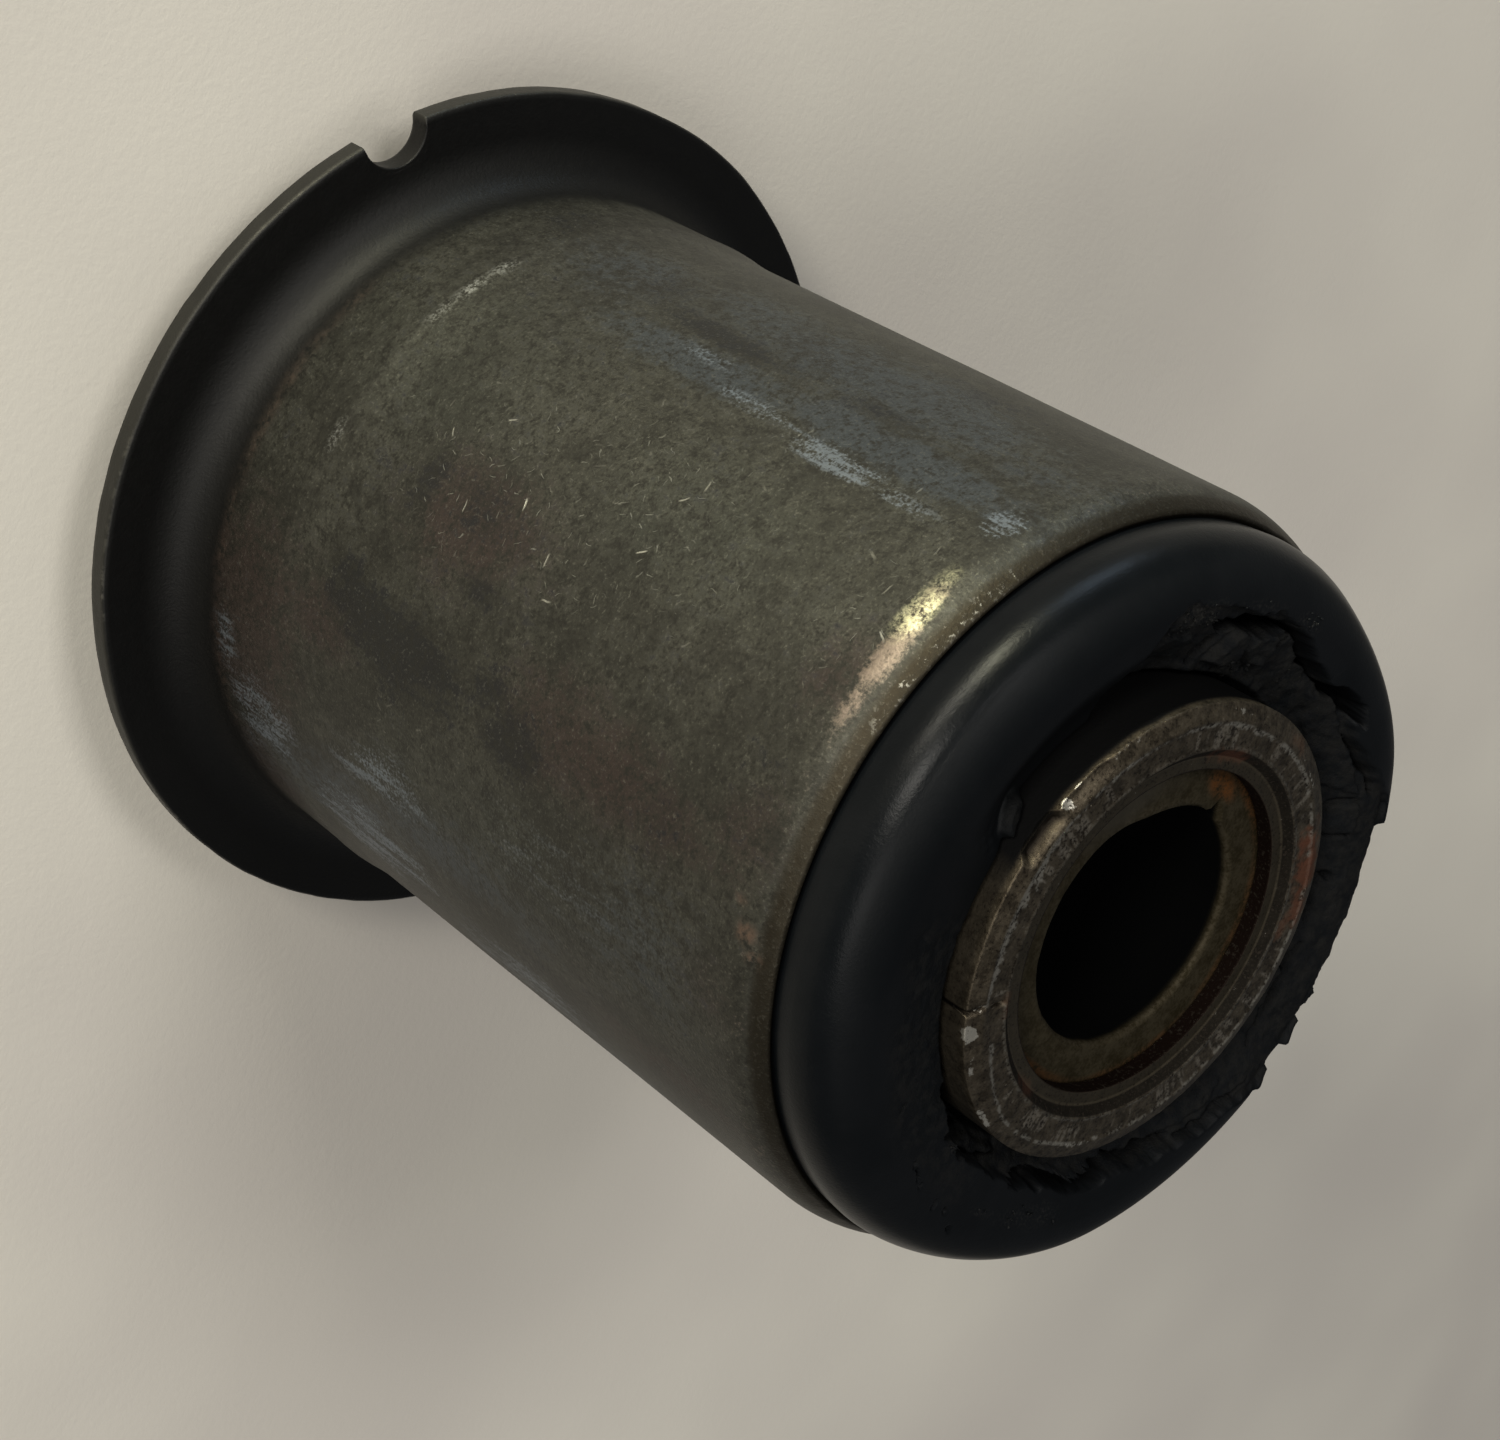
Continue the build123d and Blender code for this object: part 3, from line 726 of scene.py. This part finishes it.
# The recess wall down to the bolt tube is painted near-black: painted shade.
worn.coat(worn.painted("groove"), (0.0060, 0.0032, 0.0022))
worn.coat(worn.broken("crushed", both, 0.38, 0.58) * 0.7, (0.23, 0.205, 0.165))
line = worn.broken("bright_line", both, 0.36, 0.56) + worn.broken("mouth_line", fine, 0.35, 0.60) * 0.6
worn.coat(line * 0.7, (0.30, 0.285, 0.245))
scuff = worn.step(worn.painted("bright_scuff") + (fine - 0.5) * 1.1 + (coarse - 0.5) * 1.4, 0.35, 0.60)
worn.coat(scuff * 0.85, (0.42, 0.40, 0.345))
worn.coat(1 - worn.step(coarse * 0.25 + fine * 0.75, 0.36, 0.47), (0.020, 0.016, 0.012))
worn.coat(worn.painted("chip"), (0.011, 0.009, 0.007))
rusted = worn.broken("rust", coarse * 0.6 + fine * 0.4, 0.28, 0.50)
worn.coat(rusted * 0.9, (0.072, 0.028, 0.016))
# Near-black on the outer wall: part rubber film, part painted shade.
worn.coat(worn.painted("film_and_shade"), (0.0035, 0.0035, 0.0035))
worn.coat(worn.painted("seam"), (0.0025, 0.002, 0.002))
dull = worn.painted("film_and_shade") + worn.painted("groove") * 0.6 + shaded * 0.8
worn.surface({
    "Metallic": 0.85 - rusted * 0.7 - dull * 0.8,
    "Roughness": 0.46 + coarse * 0.12 + rusted * 0.3 + dull * 0.2 - scuff * 0.10,
    "Specular IOR Level": 0.05,
    "Normal": worn.bumps(fine * 0.5 + coarse * 0.6, 0.00006),
})
ring_piece("inner_sleeve_skin", sleeve_angles, sleeve_r, sleeve_z, sleeve_marks, worn,
           "inner_sleeve")
tooth_sink = 0.12
for name, height in (("near_teeth", sleeve_top - tooth_sink), ("far_teeth", tooth_sink)):
    crushed_ring.grow(name, bpy.data.meshes.new(name), {
        "Count": 190, "Radius": 11.75 * mm, "Height": height * mm, "Length": 0.36 * mm, "Width": 0.13 * mm,
        "Depth": 0.08 * mm, "Scatter": 0.45 * mm, "Finish": worn.owner}, "sleeve_steel")


# Rubber body: black rubber moulded and bonded between shell and sleeve, torn in a crescent round the sleeve.
# The shoulder is smooth and glossy, and the torn part is a slope of cracks, slabs and crumbs.

rubber_top = 65.3
rubber_bottom = 1.5
bond = 13.4
shoulder = 3.3
dish_drop = 0.45
far_gap = 0.35
far_gap_depth = 1.4
rubber_step = 0.45
crevice = (mouth[0] - 0.35 * math.cos(curl), mouth[1] - 0.35 * math.sin(curl))
rubber_outside = crevice[0] + 0.1
shoulder_centre = (rubber_outside - shoulder, rubber_top - shoulder)
far_centre = (collar_inside - shoulder, rubber_bottom + shoulder)
face_start = (bond + 0.05, rubber_top - dish_drop)
edge_foot = face_start[1] - 0.9
far_dish = rubber_bottom + dish_drop

rubber_line = np.array(
    spaced([(bond, 60), (bond, edge_foot)], 2)
    + spaced([(bond, edge_foot), face_start], 0.3)
    + spaced([face_start, (shoulder_centre[0], rubber_top)], face_gap)
    + bend(shoulder_centre, shoulder, 90, 0, 42)
    + spaced([(rubber_outside, shoulder_centre[1]), crevice], 0.35)
    + [crevice] + bonded_wall
    + spaced([(collar_inside, root_centre[1]), (collar_inside, far_centre[1])], 2.0)
    + bend(far_centre, shoulder, 0, -90, 8)
    + spaced([(far_centre[0], rubber_bottom), (bond + far_gap, far_dish),
              (bond + far_gap, far_dish + far_gap_depth), (bond, far_dish + far_gap_depth)], 1.4)
    + spaced([(bond, far_dish + far_gap_depth), (bond, 60)], 14))
rubber_angles = np.arange(0, 360, rubber_step)
rubber_r, rubber_z, turns, flat = turned(rubber_line, rubber_angles)
near_end = rise(rubber_z, 61.2, 62.8)
face = rise(rubber_z, 62.2, 63.2)
unroll = 16.5 * math.pi / 180
warp_s = 0.30 * grain(*flat, 0, 1.3, 60, 2) + 0.16 * grain(*flat, 0, 0.4, 61)
warp_r = 0.30 * grain(*flat, 0, 1.3, 62, 2) + 0.16 * grain(*flat, 0, 0.4, 63)
here = (turns + 60) % 360 - 60 + warp_s / unroll
fibrous = grain(*flat, 0, 0.35, 65, 2)
rough = grain(*flat, 0, 0.9, 64, 3)


def unrolled(angle, middle):
    """How far round from a middle angle, in millimetres along the torn crescent."""
    return ((angle - middle + 180) % 360 - 180) * unroll


def to_run(s, r, start, end):
    """Each point's share along a straight run, from 0 to 1, and its distance from the run."""
    (s0, r0), (s1, r1) = start, end
    t = np.clip(((s - s0) * (s1 - s0) + (r - r0) * (r1 - r0)) / ((s1 - s0) ** 2 + (r1 - r0) ** 2), 0, 1)
    return t, np.hypot(s - s0 - t * (s1 - s0), r - r0 - t * (r1 - r0))


def split(line, width, depth):
    """A crack torn along a line of angle and radius pairs, widest in its middle."""
    middle = line[len(line) // 2][0]
    corners = [(unrolled(a, middle), q) for a, q in line]
    away, share = np.full(rubber_r.shape, 99.0), np.zeros(rubber_r.shape)
    s, r = unrolled(turns, middle) + warp_s, rubber_r + warp_r
    for i, (start, end) in enumerate(zip(corners, corners[1:])):
        t, reach = to_run(s, r, start, end)
        share = np.where(reach < away, (i + t) / (len(line) - 1), share)
        away = np.minimum(away, reach)
    half = width / 2 * np.sqrt(np.sin(np.pi * np.clip(share, 0.02, 0.98)))
    return depth * (1 - rise(away, half * 0.5, half + 0.07))


def slab(outline, height, edge=0.13):
    """A raised patch with a torn edge, its outline in angle and radius pairs."""
    middle = outline[0][0]
    corners = [(unrolled(a, middle), q) for a, q in outline]
    s, r = unrolled(turns, middle) + warp_s * 0.8, rubber_r + warp_r * 0.8
    inside = np.zeros(rubber_r.shape, bool)
    nearest = np.full(rubber_r.shape, 99.0)
    for (s0, r0), (s1, r1) in zip(corners, corners[1:] + corners[:1]):
        nearest = np.minimum(nearest, to_run(s, r, (s0, r0), (s1, r1))[1])
        inside ^= ((r0 > r) != (r1 > r)) & (s < s0 + (r - r0) / (r1 - r0 + 1e-9) * (s1 - s0))
    return height * rise(np.where(inside, nearest, -nearest), -edge, edge)


tear_outline = [
    (-40, 13.9), (-24, 14.8), (0, 15.5), (18, 15.8), (30, 16.3), (40, 17.1), (52, 17.8), (62, 18.4),
    (70, 19.5), (82, 19.2), (94, 19.8), (108, 19.3), (122, 19.6), (129, 18.4), (137, 17.6), (144, 17.2),
    (151, 17.6), (159, 16.8), (167, 16.6), (176, 17.6), (184, 18.1), (190, 17.8), (199, 18.4), (207, 18.9),
    (213, 18.1), (218, 16.6), (224, 15.0), (228, 13.9)]
edge = np.interp(here, *zip(*tear_outline), left=12.0, right=12.0)
torn = rise(edge - rubber_r - warp_r, -0.12, 0.16) * face
slope = 0.45 + 1.15 * (1 - rise(rubber_r, 13.6, 19.0))
rubber_z = rubber_z + torn * (0.24 * rough + 0.09 * fibrous - slope)

# Past the far side of the sleeve the rubber bulges higher over the shell, and its rim is torn away in part.
bulge = rise((turns + 60) % 360, 48, 90) * (1 - rise((turns + 60) % 360, 188, 222))
rubber_r = rubber_r + near_end * bulge * 0.40 * rise(rubber_r, 15.5, 19.5)
rubber_z = rubber_z + near_end * bulge * 0.62 * rise(rubber_r, 14.5, 18.0)
shaved = rise(turns, 66, 74) * (1 - rise(turns, 117.5, 119)) * rise(rubber_r, 16.5, 19.0)
rubber_z = rubber_z - face * shaved * (0.70 + 0.30 * grain(*flat, 0, 1.8, 66, 2)) * (1 - 0.8 * torn)

# The near side is sunk in a smooth trough beside the sleeve, painted darker as painted shade, and pitted
# further round.
trough = rise(here, 190, 214) * (1 - rise(here, 250, 266)) * (1 - rise(rubber_r, 14.4, 17.2))
rubber_z = rubber_z - face * trough * 1.2
beside_ring = (1 - rise(rubber_r, 13.55, 13.85 + 0.25 * warp_r)) * face
rubber_z = rubber_z - beside_ring * 1.0
pitted = np.clip(rise(here, 274, 284) + (1 - rise(here, -16, -4)) * (here < 100), 0, 1)
pitted = pitted * (1 - rise(rubber_r + 0.8 * grain(*flat, 0, 2.5, 67), 16.4, 18.0)) * face
rubber_z = rubber_z + pitted * (0.07 * grain(*flat, 0, 0.45, 68, 2) - 0.07)

cuts = [
    ([(143.5, 17.9), (148, 17.7), (153, 17.3), (157, 16.6)], 0.95, 1.9),
    ([(157, 16.6), (162, 16.6), (167, 16.7), (173, 17.2), (178, 17.4)], 0.55, 1.5),
    ([(177, 17.6), (183, 17.0), (189, 17.2), (194, 16.9), (198, 17.0)], 0.95, 2.6),
    ([(193.5, 16.4), (196, 15.4), (197, 14.2)], 0.75, 1.9),
    ([(126, 18.5), (131, 18.0), (136, 17.5), (142, 17.1)], 0.28, 0.9),
    ([(184.6, 16.7), (186, 15.9), (185.5, 15.0)], 0.22, 0.9),
    ([(175, 16.9), (176, 16.2), (174.5, 15.6)], 0.18, 0.6),
    ([(108, 17.2), (110, 16.6), (109, 16.0)], 0.3, 0.6),
    ([(117.5, 17.8), (119, 16.9), (118, 16.0), (121, 15.4)], 0.22, 0.55),
    ([(125.5, 17.7), (126.5, 16.9), (125.5, 16.1), (123, 15.6)], 0.22, 0.55),
    ([(2, 15.8), (9, 15.7), (17, 16.1), (22, 16.4), (28, 16.5), (34, 16.2)], 0.55, 1.6),
    ([(34, 16.3), (38, 16.7), (43, 16.9), (48, 17.3)], 0.6, 1.4),
    ([(50, 17.7), (55, 18.0), (61, 18.4), (68, 18.6)], 0.4, 1.1),
    ([(-20, 15.2), (-12, 15.1), (-5, 15.0), (1, 14.6)], 0.28, 0.9),
    ([(-26, 14.9), (-22, 14.4), (-18, 13.9)], 0.8, 1.6),
    ([(8, 14.6), (12, 14.55), (17, 14.7)], 0.25, 0.7),
    ([(-8.5, 19.15), (-9.5, 18.8)], 0.15, 0.35),
    ([(-12.5, 18.5), (-13.5, 18.05)], 0.16, 0.35),
    ([(-16.8, 18.25), (-17.4, 17.8)], 0.2, 0.4),
    ([(-23.0, 18.1), (-23.6, 17.7)], 0.2, 0.4),
    ([(-25.4, 17.75), (-27.0, 17.6)], 0.18, 0.4),
    ([(-28.0, 17.7), (-28.8, 17.5)], 0.15, 0.35),
    ([(-42.2, 17.0), (-42.6, 16.5)], 0.12, 0.25),
    ([(99, 16.6), (104, 16.4), (110, 16.2)], 0.35, 0.6),
    ([(72, 17.2), (80, 16.9), (88, 16.7), (95, 16.8)], 0.45, 0.8),
]
carved = np.zeros(rubber_r.shape)
for line, width, depth in cuts:
    carved = np.maximum(carved, split(line, width, depth))
rubber_z = rubber_z - carved * face
slabs = [
    ([(186.5, 16.9), (189.5, 16.8), (192.8, 15.2), (193.5, 14.5), (187.5, 14.4), (185.8, 15.4)], 0.70),
    ([(176, 16.2), (180, 16.9), (183.5, 16.5), (184.6, 15.6), (181, 14.8), (176.5, 15.0)], 0.50),
    ([(201, 16.2), (207, 16.7), (215, 16.6), (218, 15.6), (213, 14.9), (203, 14.8)], 0.40),
    ([(127, 17.6), (140, 16.9), (152, 16.9), (157, 15.8), (150, 14.9), (132, 15.3)], 0.30),
    ([(118.5, 17.6), (125, 17.6), (125.5, 16.2), (121, 15.6), (118.5, 16.4)], 0.28),
    ([(159, 18.4), (167, 18.3), (174, 17.6), (168, 17.1), (160, 17.0)], 0.25),
    ([(-17, 15.0), (-8, 14.95), (0, 14.5), (-3, 14.15), (-12, 14.15)], 0.40),
    ([(198, 18.5), (207, 18.9), (212, 18.2), (210, 17.2), (200, 17.1)], 0.25),
    ([(36, 16.0), (50, 16.9), (60, 17.6), (64, 16.9), (50, 15.9), (38, 15.3)], 0.28),
    ([(77.5, 21.5), (81.5, 21.5), (82, 19.8), (77, 19.8)], 0.55),
    ([(68.5, 21.5), (72, 21.5), (72.5, 20.0), (68, 20.0)], 0.40),
    ([(84.5, 21.0), (87.5, 21.0), (87.5, 19.6), (84, 19.6)], 0.35),
]
for outline, height in slabs:
    rubber_z = rubber_z + slab(outline, height) * face
flap = stains(turns, rubber_r, [(255, 14.0, 5.0, 0.75, 1.0)], 0.35 * rough)
rubber_z = rubber_z + face * flap * 0.8
rubber_z = np.minimum(rubber_z, rubber_top + 0.7 * bulge)
rubber_r = rubber_r - 0.03 * line_mark(turns, 252, 9) * line_mark(rubber_z, 64.1, 0.10) * face

rubber_marks = {
    "torn": np.clip(torn + 0.6 * shaved * face + flap * face, 0, 1),
    "carved": np.clip(carved * face, 0, 1),
    "pitted": pitted,
    "crumbly": stains(turns, rubber_r, [
        (205, 17.8, 9, 1.2, 1.0), (190, 18.3, 8, 0.6, 0.5), (176, 18.3, 5, 0.7, 0.6),
        (182, 14.4, 12, 0.8, 0.7), (-3, 17.5, 5, 0.4, 0.6), (10, 17.5, 12, 1.0, 0.4),
        (165, 15.5, 9, 0.8, 0.5), (-22, 15.2, 3, 0.5, 0.8), (255, 13.9, 5, 0.6, 0.6)], 0.3 * rough, 0.2),
    "trough": np.clip(face * trough + beside_ring, 0, 1),
    "matt": 1 - rise(rubber_r, 20.2, 20.9) * (rubber_z > 55),
}
rubber = Finish(bpy.data.materials.new("black_rubber"))
bloom = rubber.clouds(0.006, 4, 0.6)
coarse = rubber.clouds(0.0009, 5, 0.68)
fine = rubber.clouds(0.00018, 3, 0.65)
torn_share = rubber.painted("torn")
pit_share = rubber.painted("pitted")
rubber.tone = rubber.tint(rubber.step(bloom, 0.35, 0.65), (0.0022, 0.0028, 0.0034), (0.0034, 0.0040, 0.0047))
rubber.coat(torn_share * rubber.step(coarse, 0.36, 0.64) * 0.8, (0.0085, 0.0083, 0.0076))
rubber.coat(pit_share * rubber.step(coarse, 0.42, 0.62) * 0.6, (0.0080, 0.0080, 0.0076))
rubber.coat(rubber.broken("crumbly", fine, 0.48, 0.66) * 0.6, (0.026, 0.025, 0.022))
# The cracks are painted darker: painted shade in them.
rubber.coat(rubber.painted("carved") * 0.9, (0.0012, 0.0012, 0.0012))
# The trough and the rubber next to the ring are painted darker: painted shade.
rubber.coat(rubber.painted("trough") * 0.7, (0.0022, 0.0024, 0.0026))
rubber.coat(rubber.step(fine, 0.70, 0.82) * 0.30, (0.024, 0.024, 0.022))
relief = fine * (0.15 + torn_share * 0.6 + pit_share * 0.6)
relief = relief + coarse * (0.10 + torn_share * 0.9 + pit_share * 0.7)
rubber.surface({
    "Roughness": 0.24 + coarse * 0.10 + torn_share * 0.25 + pit_share * 0.12 + rubber.painted("matt") * 0.22,
    "Specular IOR Level": 0.09,
    "Normal": rubber.bumps(relief, 0.00009),
})
rubber_skin = ring_piece("rubber_body_skin", rubber_angles, rubber_r, rubber_z, rubber_marks, rubber,
                         "rubber_body")

crumb_fall = Growth("crumb_fall", {"Per Area": "Float", "Size": "Float", "Finish": "Material"})
size, chance = crumb_fall.size, crumb_fall.chance
loose = crumb_fall.node("GeometryNodeInputNamedAttribute", {"data_type": "FLOAT"}, {"Name": "crumbly"},
                        "Attribute")
spots = crumb_fall.node("GeometryNodeDistributePointsOnFaces", {}, {
    "Mesh": size("Geometry"), "Density": loose * loose * size("Per Area"), "Seed": 4}, "Points")
crumb_fall.scatter(
    spots, crumb_fall.arrow(chance(-3.0, 3.0, 1), chance(-3.0, 3.0, 2), chance(-3, 3, 3)),
    crumb_fall.arrow(size("Size") * chance(0.4, 1.6, 4), size("Size") * chance(0.4, 1.3, 5),
                     size("Size") * chance(0.3, 0.9, 6)), 0.00018)
crumb_fall.grow("rubber_crumbs", rubber_skin.data.copy(), {
    "Per Area": 9.0e6, "Size": 0.22 * mm, "Finish": rubber.owner}, "black_rubber")


# Bolt tube: a rolled tube pressed into the sleeve, set back from its face, its seam an open V in the bore.
# Its steel is oxidised dull brown, with rust where water stood round it.

tube_bore = 7.1
tube_outside = 9.5
tube_recess = 1.45
near_chamfer = 0.2
far_chamfer = 0.25
groove_angle = 167.0
groove_depth = 1.0
groove_width = 0.8
tube_step = 0.75

tube_top = sleeve_top - tube_recess
tube_line = np.array(
    spaced([(tube_outside, tube_recess), (tube_outside, tube_top)], 12)
    + spaced([(tube_outside, tube_top), (tube_bore + near_chamfer, tube_top),
              (tube_bore, tube_top - near_chamfer), (tube_bore, plain_top)], 0.16)
    + spaced([(tube_bore, plain_top), (tube_bore, tube_recess + far_chamfer),
              (tube_bore + far_chamfer, tube_recess), (tube_outside, tube_recess)], 4))
tube_angles = np.sort(np.concatenate([np.arange(0, 360, tube_step), groove_angle + np.linspace(-7, 7, 57)]))
tube_r, tube_z, turns, flat = turned(tube_line, tube_angles)
from_groove = np.radians((turns - groove_angle + 180) % 360 - 180) * tube_bore
lean = np.where(from_groove < 0, groove_width * 1.5, groove_width * 0.35)
bite = groove_depth * np.clip(1 - np.abs(from_groove) / lean, 0, 1)
pressed_in = 0.55 * line_mark(turns, 208, 24) * rise(turns, 168, 178)
bore_wander = 0.05 * grain(*flat, 0, 1.2, 40, 2) + 0.05 * grain(*flat, 0, 4, 41)
at_bore = 1 - rise(tube_r, tube_bore + 0.1, tube_bore + 1.3)
tube_r = tube_r + at_bore * (bite + (bore_wander - pressed_in) * rise(tube_z, 59, 63.5))
tube_z = tube_z + rise(tube_z, 64.9, 65.0) * 0.03 * grain(*flat, 0, 0.9, 42, 2)
ragged = 0.3 * grain(*flat, tube_z, 1.5, 43, 3)
tube_marks = {
    "rust": stains(turns, tube_r, [
        (172, 8.7, 13, 0.9, 1.0), (150, 9.4, 25, 0.5, 0.8), (-15, 9.3, 28, 0.4, 0.6), (40, 9.4, 40, 0.4, 0.5),
        (-58, 9.2, 8, 0.8, 0.4), (100, 9.3, 40, 0.5, 0.5)], ragged, 0.3),
    "pale": stains(turns, tube_r, [(225, 8.4, 32, 1.6, 1.0)], ragged, 0.2),
    "rim_highlight": rise(-tube_r, -tube_bore - 0.20, -tube_bore - 0.10) * (tube_z > tube_top - 0.22),
    # Below the tube's face, down the bore: painted shade.
    "deep": 1 - rise(tube_z, tube_top - 0.6, tube_top - 0.2),
}
oxide = Finish(bpy.data.materials.new("oxidised_tube_steel"))
coarse = oxide.clouds(0.0009, 5, 0.65)
fine = oxide.clouds(0.00020, 3, 0.65)
both = coarse * 0.6 + fine * 0.4
deep = oxide.painted("deep")
oxide.tone = oxide.tint(oxide.step(both, 0.38, 0.62), (0.0190, 0.0150, 0.0075), (0.0380, 0.0315, 0.0190))
oxide.coat(oxide.painted("pale") * 0.6, (0.050, 0.045, 0.035))
rusted = oxide.broken("rust", both, 0.36, 0.58)
oxide.coat(rusted * 0.9, (0.070, 0.026, 0.007))
# A painted highlight along the rim of the bore.
oxide.coat(oxide.broken("rim_highlight", fine, 0.35, 0.6) * 0.3, (0.060, 0.050, 0.034))
# Down the bore is painted near-black, and also duller: painted shade.
oxide.coat(deep, (0.0006, 0.0007, 0.0007))
oxide.surface({
    "Metallic": 0.45 - rusted * 0.4 - deep * 0.45,
    "Roughness": 0.58 + coarse * 0.1 + rusted * 0.2 + deep * 0.25,
    "Specular IOR Level": 0.04,
    "Normal": oxide.bumps(fine * 0.5 + coarse * 0.5, 0.00004),
})
ring_piece("bolt_tube_skin", tube_angles, tube_r, tube_z, tube_marks, oxide, "bolt_tube")
